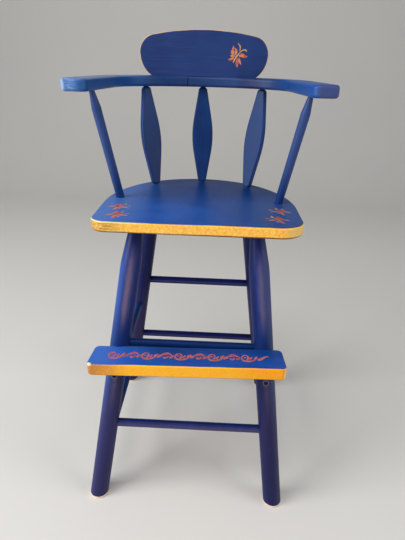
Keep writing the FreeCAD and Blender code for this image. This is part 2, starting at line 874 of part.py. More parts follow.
def crest_outline():
    """Flattened oval: three arcs over the waist, and one each side below it that runs on under the foot."""
    half = "(crest_width / 2)"
    foot = "(crest_foot_width / 2)"
    rise = "(crest_height - crest_waist_height)"
    corner = f"min(crest_corner_radius; 0.9 * {rise})"
    inset = f"({half} - {corner})"
    crown = f"(({inset}^2 + {rise}^2 - {corner}^2) / (2 * ({rise} - {corner})))"
    below = f"((({half} - {foot})^2 + crest_waist_height^2) / (2 * ({half} - {foot})))"
    meet_across = f"({crown} * {inset} / ({crown} - {corner}))"
    meet_up = f"crest_height - {crown} + {crown} * ({crown} - {rise}) / ({crown} - {corner})"
    drop = f"min(0.98 * ({below} - crest_waist_height); crest_height / 2)"
    inwards = f"({half} - {below} + sqrt({below}^2 - (crest_waist_height + {drop})^2))"
    return [
        (inwards, f"-{drop}", below, 1),
        (half, "crest_waist_height", corner, 1),
        (meet_across, meet_up, crown, 1),
        (f"-{meet_across}", meet_up, corner, 1),
        (f"-{half}", "crest_waist_height", below, 1),
        (f"-{inwards}", f"-{drop}"),
    ]


def crest_blank():
    """Oval with rounded edges, sawn straight across at its foot."""
    body = board("crest_oval", "XZ_Plane", crest_outline(), "crest_thickness", "Symmetric")
    edge = "min(crest_edge_radius; 0.4 * crest_thickness)"
    round_edges(body, edge, in_faces("Y", value("crest_thickness / 2")))
    body.Placement = at_rail(("-crest_offset", CREST_MIDDLE, "rail_thickness"))
    saw = doc.addObject("Part::Box", "crest_saw")
    bind(saw, "Length", "2 * crest_width")
    bind(saw, "Width", "2 * crest_thickness")
    bind(saw, "Height", "crest_height")
    saw.Placement = at_rail((
        "-crest_offset - crest_width",
        f"{CREST_MIDDLE} - crest_thickness",
        "rail_thickness - crest_height",
    ))
    return cut("crest_sawn", body, [saw])


def make_crest(rail_sockets):
    """Crest board and the four pegs that hold it to the rail."""
    pegs = []
    holes = []
    rows = {
        "inner": "crest_dowel_inner_spacing / 2",
        "outer": "crest_foot_width / 2 - crest_dowel_end_inset",
    }
    for row, out in rows.items():
        for side in SIDES:
            across = f"{SIDES[side]} * ({out}) - crest_offset"
            low = (across, CREST_MIDDLE, "rail_thickness")
            high = (across, CREST_MIDDLE, "rail_thickness + crest_height")
            peg = dowel(f"{side}_{row}_crest_dowel", "crest_dowel_diameter", "crest_dowel_length")
            peg.Placement = along_rail(low, high, "-crest_dowel_rail_depth")
            pegs.append(peg)
            holes.append(bore(
                f"{side}_{row}_crest_hole",
                "crest_dowel_diameter",
                "crest_dowel_length + 2 * socket_end_gap",
                along_rail(low, high, "-crest_dowel_rail_depth - socket_end_gap"),
            ))
    rail_sockets.extend(holes)
    keep(cut("crest_board", crest_blank(), holes), "crest_board")
    keep(group("crest_dowels", pegs), "crest_dowels")


# The chair, from the floor up

def make_base():
    saw = floor_saw()
    sockets = {(end, side): [saw] for end in FOOT for side in SIDES}
    side_holes = make_stretcher_screws(sockets)
    footrest_holes = make_footrest_screws(sockets)
    make_stretchers(sockets, side_holes)
    make_footrest(footrest_holes)
    for end, side in sockets:
        make_leg(end, side, sockets[end, side])


def make_top():
    seat_sockets = [leg_socket(end, side) for end in FOOT for side in SIDES]
    rail_sockets = make_splice_dowels()
    make_uprights(seat_sockets, rail_sockets)
    make_crest(rail_sockets)
    make_seat(seat_sockets)
    make_rails(rail_sockets)


def check(thing):
    """Stop where a feature failed or a solid is not sound."""
    if "Invalid" in thing.State or "Error" in thing.State:
        raise RuntimeError(f"{thing.Name} did not compute")
    if hasattr(thing, "Shape") and thing in finished and (thing.Shape.isNull() or not thing.Shape.isValid()):
        raise RuntimeError(f"{thing.Label} is not a sound solid")


def export():
    os.makedirs("parts", exist_ok=True)
    for piece in finished:
        piece.Shape.exportStep(f"parts/{piece.Label}.step")


make_base()
make_top()
doc.recompute()
for thing in doc.Objects:
    check(thing)
export()
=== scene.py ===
import math

import bpy
from mathutils import Matrix, Vector


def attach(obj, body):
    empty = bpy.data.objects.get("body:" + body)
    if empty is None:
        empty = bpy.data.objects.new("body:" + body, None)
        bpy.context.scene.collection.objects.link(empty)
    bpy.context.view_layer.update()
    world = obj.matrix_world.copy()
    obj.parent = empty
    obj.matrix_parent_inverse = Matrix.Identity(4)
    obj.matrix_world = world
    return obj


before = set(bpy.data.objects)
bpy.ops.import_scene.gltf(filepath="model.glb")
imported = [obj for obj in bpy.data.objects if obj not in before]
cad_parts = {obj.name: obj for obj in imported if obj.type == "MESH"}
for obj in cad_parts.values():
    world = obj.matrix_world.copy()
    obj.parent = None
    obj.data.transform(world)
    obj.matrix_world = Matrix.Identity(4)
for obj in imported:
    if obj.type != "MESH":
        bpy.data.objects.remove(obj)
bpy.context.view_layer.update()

bpy.ops.object.select_all(action="DESELECT")

# Lengths and places are in millimetres, and MM makes them metres, the frame's unit
MM = 0.001

# Directions
ACROSS = (1, 0, 0)
BACKWARDS = (0, 1, 0)
UPWARDS = (0, 0, 1)


# Places taken from the CAD pieces

def span(name, axis):
    """Where a piece begins and ends along an axis."""
    places = [vertex.co["XYZ".index(axis)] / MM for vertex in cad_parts[name].data.vertices]
    return min(places), max(places)


def centre(name, axis):
    return sum(span(name, axis)) / 2


SEAT_UNDERSIDE, SEAT_TOP = span("seat_plank", "Z")
CREST_FRONT, CREST_BACK = span("crest_board", "Y")
RAIL_SEAM = span("left_arm_rail", "X")[1]
SCREW_LEVEL = centre("stretcher_screws", "Z")
FRONT_LOWER_BACK = centre("front_lower_stretcher", "Y")
FRONT_LOWER_LEVEL = centre("front_lower_stretcher", "Z")
REAR_STRETCHER_LEVELS = [centre(f"rear_{place}_stretcher", "Z") for place in ("upper", "lower")]


def linear(level):
    """Strength of light for a screen level, both from 0 to 1."""
    if level < 0.04:
        return level / 12.92
    return ((level + 0.055) / 1.055) ** 2.4


def seen(red, green, blue):
    """Colour for a shader from the 0 to 255 levels it should show."""
    return (*[linear(level / 255) for level in (red, green, blue)], 1)


# Blue paints, each as (shaded, plain, brushed, rubbed): one blue, set lighter or darker for each piece
# by how light falls on it, as painted light and shade
SEAT_BLUE = (seen(20, 66, 144), seen(28, 86, 172), seen(54, 114, 198), seen(42, 56, 124))
FOOTREST_BLUE = (seen(14, 62, 140), seen(22, 82, 176), seen(40, 108, 204), seen(32, 48, 120))
CREST_BLUE = (seen(24, 46, 96), seen(30, 54, 108), seen(44, 72, 130), seen(42, 42, 90))
RAIL_BLUE = (seen(12, 46, 96), seen(17, 56, 110), seen(38, 80, 142), seen(40, 44, 92))
UPRIGHT_BLUE = (seen(10, 44, 96), seen(14, 54, 110), seen(34, 76, 140), seen(36, 42, 90))
POST_BLUE = (seen(42, 64, 116), seen(51, 75, 132), seen(66, 96, 158), seen(62, 62, 108))
LEG_BLUE = (seen(24, 36, 96), seen(30, 44, 114), seen(42, 62, 138), seen(56, 48, 96))
UPPER_STRETCHER_BLUE = (seen(2, 28, 76), seen(4, 40, 96), seen(16, 60, 120), seen(20, 42, 88))
LOWER_STRETCHER_BLUE = (seen(26, 38, 86), seen(32, 46, 102), seen(44, 66, 128), seen(52, 48, 92))
REAR_BLUE = (seen(11, 17, 66), seen(14, 24, 83), seen(20, 34, 100), seen(28, 26, 70))
SIDE_BLUE = (seen(6, 34, 84), seen(9, 45, 102), seen(24, 70, 138), seen(24, 36, 84))

# Single blues and violets that tint parts of a piece, most of them as painted light and shade
SHADED_BLUE = seen(4, 44, 98)
DARK_BLUE = seen(14, 24, 70)
DEEP_BLUE = seen(8, 28, 84)
POST_FOOT_BLUE = seen(4, 46, 104)
LIT_BLUE = seen(42, 82, 160)
LEFT_ARM_BLUE = seen(16, 78, 146)
RIGHT_ARM_BLUE = seen(18, 78, 156)
BRIGHT_BLUE = seen(72, 118, 204)
SKY_BLUE = seen(72, 112, 174)
PALE_BLUE = seen(78, 116, 184)
DULL_BLUE = seen(40, 70, 124)
PALE_STREAK = seen(190, 214, 234)
HIGHLIGHT_SLATE = seen(120, 138, 166)
ROSE_VIOLET = seen(108, 88, 114)
PALE_VIOLET = seen(120, 110, 134)
DARK_VIOLET = seen(46, 41, 82)
PLUM = seen(37, 28, 62)
SLATE_VIOLET = seen(66, 74, 118)
SEAM_BLUE = seen(6, 12, 40)

# Gold paints, each as (left, middle, right, glint, deep)
# On the seat the left gold is darker, as painted shade on the seat's left end
SEAT_GOLD = (
    seen(184, 148, 82), seen(250, 190, 80), seen(254, 188, 78), seen(255, 222, 128), seen(230, 142, 48),
)
FOOTREST_GOLD = (
    seen(188, 120, 54), seen(252, 180, 36), seen(250, 160, 10), seen(255, 204, 76), seen(236, 140, 24),
)
CREST_GOLD = (
    seen(226, 180, 84), seen(232, 190, 96), seen(214, 168, 84), seen(246, 216, 150), seen(166, 120, 66),
)

# Single colours on the gold edges and the feet
GOLD_EDGE = seen(84, 40, 30)
GOLD_OLIVE = seen(150, 112, 52)
PALE_GOLD = seen(232, 208, 140)
PALE_LINE = seen(250, 240, 176)
WORN_CREAM = seen(232, 224, 182)
SOLE_PALE = seen(240, 212, 194)

# Paints of the ornament
ROSE = seen(186, 98, 94)
RUST = seen(156, 66, 76)
SALMON = seen(216, 148, 130)
PETAL_ROSE = seen(200, 118, 106)
PEACH = seen(226, 166, 130)
ORANGE = seen(208, 124, 66)
BUD_GOLD = seen(170, 128, 66)
BUD_OCHRE = seen(136, 100, 54)
BODY_GOLD = seen(208, 156, 70)
DULL_PLUM = seen(70, 44, 72)
HEART_GREY = seen(84, 80, 92)
HEART_GREEN = seen(110, 100, 84)

# Dowels, screws and floor
BARE_WOOD = seen(222, 200, 168)
BARE_GRAIN = seen(170, 138, 104)
STEEL_GREY = seen(70, 68, 80)
STEEL_RUST = seen(48, 38, 44)
FLOOR_GREY = seen(214, 212, 209)
FLOOR_WARM = seen(220, 217, 212)


# Materials

class Channel:
    """A value in a material: arithmetic on it adds Math nodes, and node() adds any other kind."""

    def __init__(self, tree, socket):
        self.tree = tree
        self.socket = socket

    def node(self, kind, settings, inputs, output=0):
        made = self.tree.nodes.new(kind)
        for name, setting in settings.items():
            setattr(made, name, setting)
        for name, given in inputs.items():
            if isinstance(given, Channel):
                self.tree.links.new(given.socket, made.inputs[name])
            else:
                made.inputs[name].default_value = given
        return Channel(self.tree, made.outputs[output])

    def math(self, operation, first, second):
        return self.node("ShaderNodeMath", {"operation": operation}, {0: first, 1: second})

    def __add__(self, other):
        return self.math("ADD", self, other)

    def __radd__(self, other):
        return self.math("ADD", other, self)

    def __sub__(self, other):
        return self.math("SUBTRACT", self, other)

    def __rsub__(self, other):
        return self.math("SUBTRACT", other, self)

    def __mul__(self, other):
        return self.math("MULTIPLY", self, other)

    def __rmul__(self, other):
        return self.math("MULTIPLY", other, self)

    def least(self, other):
        """The smaller of two values."""
        return self.math("MINIMUM", self, other)

    def ramp(self, start, end):
        """Go smoothly from 0 at start to 1 at end, which may be the lower of the two."""
        limits = {"Value": self, "From Min": start, "From Max": end}
        return self.node("ShaderNodeMapRange", {"interpolation_type": "SMOOTHSTEP"}, limits)

    def band(self, low, high, soft):
        """1 between low and high, 0 outside, with soft borders."""
        return self.ramp(low, low + soft) * (1 - (self - high).ramp(0, soft))

    def mix(self, base, over):
        """Lay one colour over another where this value is 1."""
        colours = {0: self, 6: base, 7: over}
        return self.node("ShaderNodeMix", {"data_type": "RGBA"}, colours, output=2)

    def noise(self, sizes, turn=(0, 0, 0), detail=2.0, distortion=0.0):
        """Soft noise whose spots have these sizes along three axes, turned from those of the chair."""
        placed = {"Vector": self, "Rotation": turn, "Scale": sizes}
        spots = self.node("ShaderNodeMapping", {"vector_type": "TEXTURE"}, placed)
        inputs = {"Vector": spots, "Scale": 1.0, "Detail": detail, "Distortion": distortion}
        return self.node("ShaderNodeTexNoise", {}, inputs)

    def streaks(self, along, length, width, detail=2.0, distortion=0.0):
        """Noise drawn out along a direction, as brush hairs or grain leave it."""
        turn = Vector(ACROSS).rotation_difference(Vector(along)).to_euler()
        return self.noise((length, width, width), turn, detail, distortion)

    def blotches(self, size, detail=2.0):
        return self.noise((size, size, size), detail=detail)

    def distance(self, place, stretch=(1, 1, 1)):
        """Distance from a place, after both are stretched along the axes."""
        scaled = self.node("ShaderNodeVectorMath", {"operation": "MULTIPLY"}, {0: self, 1: stretch})
        target = [number * factor for number, factor in zip(place, stretch)]
        ends = {0: scaled, 1: target}
        return self.node("ShaderNodeVectorMath", {"operation": "DISTANCE"}, ends, output=1)

    def part(self, axis):
        return self.node("ShaderNodeSeparateXYZ", {}, {0: self}, output="XYZ".index(axis))


class Finish:
    """A material with its main shader and the place of each point, in millimetres, to build from."""

    def __init__(self, name):
        self.material = bpy.data.materials.new(name)
        self.material.use_nodes = True
        self.tree = self.material.node_tree
        self.shader = self.tree.nodes["Principled BSDF"]
        place = self.tree.nodes.new("ShaderNodeTexCoord")
        metres = Channel(self.tree, place.outputs["Object"])
        scaled = {0: metres, 1: (1 / MM, 1 / MM, 1 / MM)}
        self.point = metres.node("ShaderNodeVectorMath", {"operation": "MULTIPLY"}, scaled)

    def fix(self, name, number):
        self.shader.inputs[name].default_value = number

    def feed(self, name, channel):
        self.tree.links.new(channel.socket, self.shader.inputs[name])

    def emboss(self, height, depth):
        """Raise the surface by height times depth, in millimetres."""
        raised = {"Strength": 1.0, "Distance": depth * MM, "Height": height}
        self.feed("Normal", height.node("ShaderNodeBump", {}, raised))

    def paint(self, *pieces):
        for piece in pieces:
            piece.data.materials.clear()
            piece.data.materials.append(self.material)


class Layers:
    """The paint and painted light on a surface so far: its colour, roughness, height and metal."""

    def __init__(self, colour, rough, height):
        self.colour = colour
        self.rough = rough
        self.height = height
        self.metal = None

    def cover(self, mask, colour):
        self.colour = mask.mix(self.colour, colour)


PAINT_DEPTH = 0.22
GILT_METAL = 0.12


def blue_coat(point, along, blues):
    """Satin paint brushed on along the wood."""
    shaded, plain, brushed, rubbed_and_shaded = blues
    hairs = point.streaks(along, 60, 1.3, detail=3)
    strokes = point.streaks(along, 160, 9)
    grain = point.streaks(along, 210, 4.5, detail=4, distortion=0.6)
    patches = point.blotches(90, detail=3)
    layers = Layers(
        colour=patches.ramp(0.3, 0.7).mix(shaded, plain),
        rough=0.3 + 0.12 * hairs + 0.1 * patches,
        height=0.5 * hairs + 0.3 * strokes + 0.5 * grain,
    )
    layers.cover(0.5 * strokes.ramp(0.42, 0.72), plain)
    layers.cover(0.4 * hairs.ramp(0.5, 0.8), brushed)
    layers.cover(0.45 * grain.ramp(0.54, 0.74), rubbed_and_shaded)
    return layers


def painted_wood(name, along, blues, *coats_and_light, gloss=0.3):
    """Blue-painted wood with further paint and painted light and shade laid over it, each a function of
    the place and the layers.
    """
    finish = Finish(name)
    layers = blue_coat(finish.point, along, blues)
    for overlay in coats_and_light:
        overlay(finish.point, layers)
    finish.feed("Base Color", layers.colour)
    finish.feed("Roughness", layers.rough)
    if layers.metal:
        finish.feed("Metallic", layers.metal)
    finish.emboss(layers.height, PAINT_DEPTH)
    finish.fix("Specular IOR Level", gloss)
    return finish


def tint(where, colour, strength=1.0):
    """One colour laid over where a mask says so, used both for further paint and for painted light and
    shade.
    """
    def overlay(point, layers):
        layers.cover(strength * where(point), colour)
    return overlay


def gilt(where, golds, reach, flecks=0.55):
    """Coat of mottled gold paint, whose hue drifts towards the ends at -reach and +reach."""
    left, middle, right, glint, deep = golds

    def overlay(point, layers):
        mask = where(point)
        across = point.part("X") + wander(point, 60, 120)
        specks = point.blotches(2.4, detail=3)
        gold = across.ramp(-0.45 * reach, -1.05 * reach).mix(middle, left)
        gold = across.ramp(0.1 * reach, 0.95 * reach).mix(gold, right)
        gold = (flecks * specks.ramp(0.5, 0.68)).mix(gold, glint)
        gold = (flecks * specks.ramp(0.5, 0.32)).mix(gold, deep)
        layers.cover(mask, gold)
        layers.rough = layers.rough + mask * (0.12 + 0.12 * specks)
        layers.height = layers.height + mask * specks
        layers.metal = GILT_METAL * mask
    return overlay


def wander(point, size, swing):
    """Slow drift of a hand-painted line, in millimetres."""
    return (point.blotches(size, detail=1) - 0.5) * swing


# Where the further coats and the painted light and shade lie on the seat

def seat_level(point):
    """Height over the seat, less the drift of its painted lines: up to the right, down behind."""
    climb = 0.7 * point.part("X").ramp(-40, 40)
    fall = 2.5 * point.part("Y").ramp(-116, -100)
    height = point.part("Z") - SEAT_TOP
    return height - climb + fall - wander(point, 30, 1.2)


def seat_edge(point):
    return seat_level(point).ramp(-1.5, -1.8)


def seat_left(point):
    return point.part("X").ramp(-105, -160)


def seat_edge_line(point):
    return seat_level(point).band(-2.1, -1.5, 0.2) * (1 - seat_left(point))


def seat_pale_line(point):
    line = seat_level(point).band(-3.6, -1.6, 0.4)
    return line * point.part("X").ramp(-70, -130)


def seat_olive_streaks(point):
    streaks = point.streaks(ACROSS, 40, 2)
    return seat_edge(point) * seat_left(point) * streaks.ramp(0.46, 0.6)


def seat_right_end(point):
    return seat_edge(point) * point.part("X").ramp(150, 174)


# Painted shade along the lower edge of the seat and under it.
def seat_lower_shade_line(point):
    return seat_level(point).ramp(-18, -19.4)


def seat_shade(point):
    """Painted shade: the back half of the seat, and less so its right side, made duller."""
    back = (point.part("Y") + wander(point, 80, 60)).ramp(-120, 110)
    right = point.part("X").ramp(-170, 160)
    return back * (0.4 + 0.4 * point.part("X").ramp(-180, -60)) + 0.2 * right


# Painted light: the seat is lighter towards its left side.
def seat_left_light(point):
    return point.part("X").ramp(-65, -178)


# Painted shade: the seat is duller towards its right side.
def seat_right_shade(point):
    return point.part("X").ramp(-50, 150) * point.part("Y").ramp(80, -60)


def paint_seat(nodes):
    coats_and_light = [
        tint(seat_shade, SHADED_BLUE),
        tint(seat_left_light, PALE_BLUE, 0.85),
        tint(seat_right_shade, DULL_BLUE, 0.85),
        gilt(seat_edge, SEAT_GOLD, reach=190),
        tint(seat_olive_streaks, GOLD_OLIVE, 0.7),
        tint(seat_right_end, PALE_GOLD, 0.5),
        tint(seat_pale_line, PALE_LINE, 0.6),
        tint(seat_edge_line, GOLD_EDGE, 0.6),
        tint(seat_lower_shade_line, GOLD_EDGE, 0.85),
    ]
    painted_wood("seat_paint", ACROSS, SEAT_BLUE, *coats_and_light, gloss=0.12).paint(nodes["seat_plank"])


# On the crest

def crest_edge(point):
    line = point.part("Y") - wander(point, 25, 1.2)
    return line.band(CREST_FRONT + 0.5, CREST_BACK - 0.9, 0.3)


def paint_crest(nodes):
    edge = gilt(crest_edge, CREST_GOLD, reach=134)
    painted_wood("crest_paint", ACROSS, CREST_BLUE, edge).paint(nodes["crest_board"])


# On the footrest, which rises a little to the right and is wider in front

FOOTREST_SLOPE = math.tan(math.radians(1.4))
FOOTREST_FLARE = 0.064
FOOTREST_TOP = 341.6

# Lines just outside the board, which the border of its gold follows
BORDER_FRONT = -217.8
BORDER_LEFT = -190
BORDER_RIGHT = 178

# Where its corners are worn
LEFT_WORN_CORNER = (-182, -214, 336)
RIGHT_WORN_CORNER = (173, -214, 334)


def footrest_height(point):
    """Height over the board's sloping top."""
    return point.part("Z") - point.part("X") * FOOTREST_SLOPE - FOOTREST_TOP


def footrest_level(point):
    """Height over the board's top, that goes on rising from its edges inwards."""
    inward = point.part("Y") - BORDER_FRONT
    left = point.part("X") - BORDER_LEFT - FOOTREST_FLARE * inward
    right = BORDER_RIGHT - point.part("X") - FOOTREST_FLARE * inward
    nearest = inward.least(left.least(right))
    fall = 0.9 * point.part("X").ramp(-115, -150)
    return footrest_height(point) + 0.5 * nearest + fall - wander(point, 34, 1.3)


def footrest_edge(point):
    return footrest_level(point).ramp(1.25, 1.05)


def footrest_edge_line(point):
    return footrest_level(point).band(1.0, 1.3, 0.15)


# Painted shade along the lower edge of the footrest.
def footrest_lower_shade_line(point):
    return footrest_height(point).ramp(-21.5, -23.2)


def footrest_shade(point):
    back = point.part("Y").ramp(-205, -160)
    right = point.part("X").ramp(-150, -20)
    return 0.35 * back * (0.3 + right) + 0.12 * right


# Painted light: the footrest is lighter towards its left.
def footrest_left_light(point):
    return point.part("X").ramp(-80, -175)


def footrest_left_end(point):
    spots = point.blotches(4).ramp(0.4, 0.6)
    return footrest_edge(point) * point.part("X").ramp(-168, -184) * spots


def footrest_wear(point):
    """Paint rubbed to a pale ground at the top of the left front corner and down the right one."""
    ragged = 5 * point.blotches(2.6, detail=3)
    left = point.distance(LEFT_WORN_CORNER, (0.6, 1, 0.9)) + ragged
    right = point.distance(RIGHT_WORN_CORNER, (1, 1, 0.2)) + ragged
    return 0.85 * left.ramp(7.2, 4.6) + 0.6 * right.ramp(7.5, 5)


def paint_footrest(nodes):
    coats_and_light = [
        tint(footrest_shade, SHADED_BLUE),
        tint(footrest_left_light, BRIGHT_BLUE, 0.5),
        gilt(footrest_edge, FOOTREST_GOLD, reach=175, flecks=0.3),
        tint(footrest_left_end, GOLD_OLIVE, 0.5),
        tint(footrest_edge_line, GOLD_EDGE, 0.5),
        tint(footrest_lower_shade_line, GOLD_EDGE, 0.5),
        tint(footrest_wear, WORN_CREAM),
    ]
    painted_wood("footrest_paint", ACROSS, FOOTREST_BLUE, *coats_and_light).paint(nodes["footrest_board"])


# On the arm rail, which falls a little to the left

RAIL_SLOPE = math.tan(math.radians(0.38))
LEFT_ARM_END = (-206, -118, 797)
LEFT_ARM_TIP = (-217, -112, 799)
RIGHT_ARM_END = (207, -117, 799)


def rail_seam(point):
    return (point.part("X") - RAIL_SEAM).band(-1.3, 0.8, 0.3)


def rail_middle(point):
    return point.part("X").band(-80, 120, 60)


def rail_right_bend(point):
    return point.part("X").band(62, 104, 22)


def left_arm(point):
    return point.part("X").ramp(-98, -138)


def right_arm(point):
    return point.part("X").ramp(135, 190)


# Painted reflection: the left arm's end is a lighter sky blue.
def left_arm_end_reflection(point):
    end = point.distance(LEFT_ARM_END).ramp(30, 22)
    return end * (0.5 + 0.5 * point.part("X").ramp(-192, -206))


def left_arm_rim_highlight(point):
    """Painted highlight: a pale line down the outer corner of the left arm's end, widest at its top."""
    top = point.part("Z").ramp(796, 806)
    return (point.part("X") + 4 * top).ramp(-214, -220) * (0.6 + 0.4 * top)


def left_arm_streaks(point):
    streaks = point.streaks(ACROSS, 14, 1.6)
    end = point.distance(LEFT_ARM_TIP, (1, 1, 0.6)).ramp(24, 8)
    return end * streaks.ramp(0.44, 0.64)


# Painted highlight: the top of the left arm is paler.
def left_arm_top_highlight(point):
    level = point.part("Z") - point.part("X") * RAIL_SLOPE
    return level.ramp(805.5, 808.5) * point.part("X").ramp(-95, -165)


def right_arm_end(point):
    return point.distance(RIGHT_ARM_END).ramp(25, 18)


def right_arm_corner_highlight(point):
    """Painted highlight: a bright line down the inner corner of the right arm's end."""
    low = point.part("Z").ramp(807, 803)
    line = point.part("X").band(183, 188, 3)
    return line * point.part("Y").ramp(-106, -118) * low


def paint_rails(nodes):
    coats_and_light = [
        tint(rail_middle, SLATE_VIOLET, 0.2),
        tint(rail_right_bend, DEEP_BLUE, 0.6),
        tint(left_arm, LEFT_ARM_BLUE, 0.72),
        tint(right_arm, RIGHT_ARM_BLUE, 0.75),
        tint(left_arm_top_highlight, HIGHLIGHT_SLATE, 0.7),
        tint(left_arm_end_reflection, SKY_BLUE, 0.74),
        tint(left_arm_streaks, PALE_STREAK, 0.28),
        tint(left_arm_rim_highlight, PALE_STREAK, 0.5),
        tint(right_arm_end, SLATE_VIOLET, 0.8),
        tint(right_arm_corner_highlight, BRIGHT_BLUE, 0.6),
        tint(rail_seam, SEAM_BLUE),
    ]
    finish = painted_wood("rail_paint", ACROSS, RAIL_BLUE, *coats_and_light, gloss=0.25)
    finish.paint(nodes["left_arm_rail"], nodes["right_arm_rail"])


# On the uprights; the arm posts are darker towards the seat

UPRIGHT_LEAN = (0, 0.1, 1)


def post_foot(point):
    return (point.part("Z") - SEAT_TOP).ramp(80, 15)


def pieces_of(nodes, kind):
    return [nodes[name] for name in nodes if name.endswith(kind)]


def paint_uprights(nodes):
    spindles = painted_wood("spindle_paint", UPRIGHT_LEAN, UPRIGHT_BLUE, gloss=0.2)
    spindles.paint(*pieces_of(nodes, "spindle"))
    foot = tint(post_foot, POST_FOOT_BLUE, 0.8)
    posts = painted_wood("post_paint", UPRIGHT_LEAN, POST_BLUE, foot, gloss=0.2)
    posts.paint(*pieces_of(nodes, "post"))


# On the legs, whose ends are given as (across, back)

FOOT = {"front": (182, -199), "rear": (186, 193)}
HEAD = {"front": (109.3, -100), "rear": (104.8, 91)}
FRONT_FOOT_SHIFT = -2.8
HEAD_SHIFT = 2
LEG_RISE = SEAT_UNDERSIDE
LEG_RADIUS = 19
HALO_DROP = 2


def leg_line(end, sign):
    """A leg's foot across, and its run across and back over its rise."""
    foot = sign * FOOT[end][0] + (FRONT_FOOT_SHIFT if end == "front" else 0)
    head = sign * HEAD[end][0] + HEAD_SHIFT
    return foot, head - foot, HEAD[end][1] - FOOT[end][1]


def leg_turn(foot, run):
    """Place across a leg, from -1 at its left side to 1 at its right side."""
    def turn(point):
        axis = foot + point.part("Z") * (run / LEG_RISE)
        ragged = point.streaks((run, 0, LEG_RISE), 120, 4) - 0.5
        return (point.part("X") - axis) * (1 / LEG_RADIUS) + 0.3 * ragged
    return turn


def upper_leg(point):
    return point.part("Z").ramp(150, 330)


def lower_leg_shade(point):
    return point.part("Z").ramp(350, 260)


def leg_top(point):
    return point.part("Z").ramp(470, 545)


def leg_bottom(point):
    return point.part("Z").ramp(190, 60)


def leg_shade_over_footrest(point):
    """Painted shade just over the footrest, where a front leg is a darker, purer blue."""
    return point.part("Z").ramp(330, 340) * point.part("Z").ramp(425, 350)


def leg_sheen(turn, middle, slate, rose):
    """Painted reflection: two streaks about the middle of a front leg, slate and narrow rose, of these
    strengths.
    """
    def length(point):
        over = point.part("Z").ramp(355, 420)
        under = point.part("Z").ramp(180, 300) * point.part("Z").ramp(330, 310)
        return (over + 0.5 * under) * (1 - leg_top(point))

    def wide(point):
        return (turn(point) - middle).band(-0.55, 0.25, 0.4) * length(point)

    def narrow(point):
        return (turn(point) - middle).band(-0.36, 0.02, 0.32) * length(point)
    return tint(wide, SLATE_VIOLET, slate), tint(narrow, ROSE_VIOLET, rose)


def left_leg_light_and_sheen(turn):
    """The front left leg is painted bright on its left, as painted light, with a painted reflection
    about its middle.
    """
    def lit(point):
        left = turn(point).ramp(-0.1, -0.95)
        return left * (0.1 + 0.9 * upper_leg(point)) * (1 - 0.6 * leg_top(point))
    sheen = leg_sheen(turn, middle=0.12, slate=0.72, rose=0.9)
    return *sheen, tint(lit, LIT_BLUE)


def right_leg_sheen_and_shade(turn):
    """The front right leg is dark on its left, as painted shade, and slate on its right, with a painted
    reflection about its middle.
    """
    def left(point):
        return turn(point).ramp(-0.3, -0.6) * (0.3 + 0.7 * upper_leg(point))

    def right(point):
        return turn(point).ramp(0.2, 0.65) * (0.2 + 0.8 * upper_leg(point))
    sheen = leg_sheen(turn, middle=0.08, slate=0.8, rose=0.5)
    return *sheen, tint(left, DEEP_BLUE), tint(right, SLATE_VIOLET, 0.85)


def screw_rings(foot, run):
    """Ridge of paint round the screw hole in a leg's front, and a dark ring that hangs below it."""
    across = foot + run * SCREW_LEVEL / LEG_RISE

    def in_front(point):
        return point.part("Y").ramp(-150, -160)

    def rim(point):
        away = point.distance((across, 0, SCREW_LEVEL), (1, 0, 1))
        return away.band(4.1, 5.6, 0.5) * in_front(point)

    def halo(point):
        away = point.distance((across, 0, SCREW_LEVEL - HALO_DROP), (1, 0, 0.75))
        return away.band(8, 9, 0.8) * in_front(point)
    return tint(rim, PALE_VIOLET, 0.75), tint(halo, DARK_BLUE, 0.5)


# A front leg's painted light, shade and reflection, and the paint round its screw hole.
def front_leg_coats_and_light(side, foot, run):
    turn = leg_turn(foot, run)
    sides = left_leg_light_and_sheen(turn) if side == "left" else right_leg_sheen_and_shade(turn)
    return *sides, tint(leg_shade_over_footrest, SHADED_BLUE, 0.6), *screw_rings(foot, run)


def foot_sole(point):
    return (point.part("Z") - wander(point, 10, 2)).ramp(5.4, 4.6)


def paint_legs(nodes):
    for end in FOOT:
        for side, sign in (("left", -1), ("right", 1)):
            name = f"{end}_{side}_leg"
            foot, across, back = leg_line(end, sign)
            lower_shade_colour = PLUM if name == "front_right_leg" else DARK_VIOLET
            bottom_shade = 0.25 if name == "front_left_leg" else 0.5
            # Painted shade: each leg is darker and violet low down, and darker at its bottom and at its
            # top under the seat.
            coats_and_light = [
                tint(lower_leg_shade, lower_shade_colour, 0.8),
                tint(leg_bottom, DARK_BLUE, bottom_shade),
                tint(leg_top, DARK_BLUE, 0.35),
            ]
            if end == "front":
                coats_and_light += front_leg_coats_and_light(side, foot, across)
            coats_and_light.append(tint(foot_sole, SOLE_PALE))
            # The rear legs take the darker rear blue, as painted shade.
            blues = LEG_BLUE if end == "front" else REAR_BLUE
            lean = (across, back, LEG_RISE)
            painted_wood(name + "_paint", lean, blues, *coats_and_light, gloss=0.18).paint(nodes[name])


# On the stretchers

FRONT_LOWER_TILT = math.radians(47)


def rear_sheen(point):
    """Painted highlight: a faint pale streak along the rear stretchers."""
    upper, lower = [point.part("Z") - level for level in REAR_STRETCHER_LEVELS]
    return upper.band(-3.5, 1, 2.5) + lower.band(-3.5, 1, 2.5)


def front_lower_rise(point):
    """Place round the lower front stretcher: low under its front, high behind its top."""
    back = point.part("Y") - FRONT_LOWER_BACK
    up = point.part("Z") - FRONT_LOWER_LEVEL
    return math.cos(FRONT_LOWER_TILT) * back + math.sin(FRONT_LOWER_TILT) * up + wander(point, 12, 4)


def front_lower_top_shade(point):
    return front_lower_rise(point).ramp(-0.5, 5)


def front_lower_underside_reflection(point):
    return front_lower_rise(point).ramp(1, -5)


